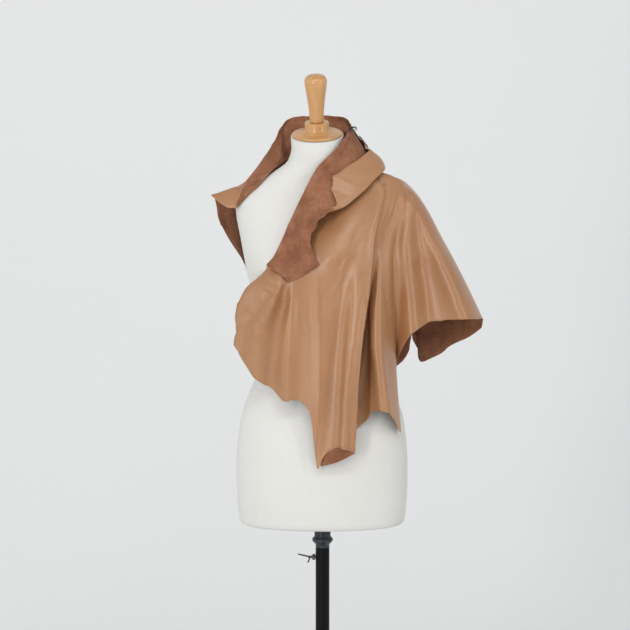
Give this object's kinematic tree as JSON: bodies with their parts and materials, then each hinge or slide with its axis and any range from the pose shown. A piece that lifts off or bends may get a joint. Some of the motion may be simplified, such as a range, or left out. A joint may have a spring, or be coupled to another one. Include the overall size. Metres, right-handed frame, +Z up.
{
  "type": "leather hide draped on a dress form",
  "caption": "Leather hide worn as an uneven cape with a turned-back suede-side collar, clipped at the neck, on a linen dress form with a wooden neck cap and a round-footed pole stand.",
  "frame": {"origin": "centre of the round foot's underside, on the floor and on the pole's axis", "axes": "+Z up along the pole, -Y towards the viewer in front, +X to that viewer's right"},
  "size_m": [0.5438, 0.38, 1.6256],
  "materials": {
    "leather": "semi-gloss tan grain side, brown suede flesh side",
    "clip_plastic": "glossy black",
    "linen": "matt cream linen",
    "wood": "turned pale wood, satin lacquer",
    "blued_metal": "dark blue-grey, satin",
    "black_metal": "black, satin",
    "steel": "plain"
  },
  "bodies": {
    "stand": {"stand_base": "black_metal", "stand_tube": "black_metal"},
    "mast": {"height_rod": "blued_metal"},
    "form": {"form_torso": "linen", "neck_cap": "wood", "finial": "wood", "hide": "leather", "clip_outer_jaw": "clip_plastic", "clip_inner_jaw": "clip_plastic"},
    "screw": {"wing_screw": "steel"}
  },
  "joints": [
    {"name": "mast_slide", "type": "slide", "parent": "stand", "child": "mast", "axis": [0, 0, 1], "range_m": [0, 0.3]},
    {"name": "form_swivel", "type": "hinge", "parent": "mast", "child": "form", "pos_m": [0, 0, 0.724], "axis": [0, 0, 1], "continuous": true},
    {"name": "screw_turn", "type": "hinge", "parent": "stand", "child": "screw", "pos_m": [-0.02, 0, 0.652], "axis": [1, 0, 0], "continuous": true}
  ]
}
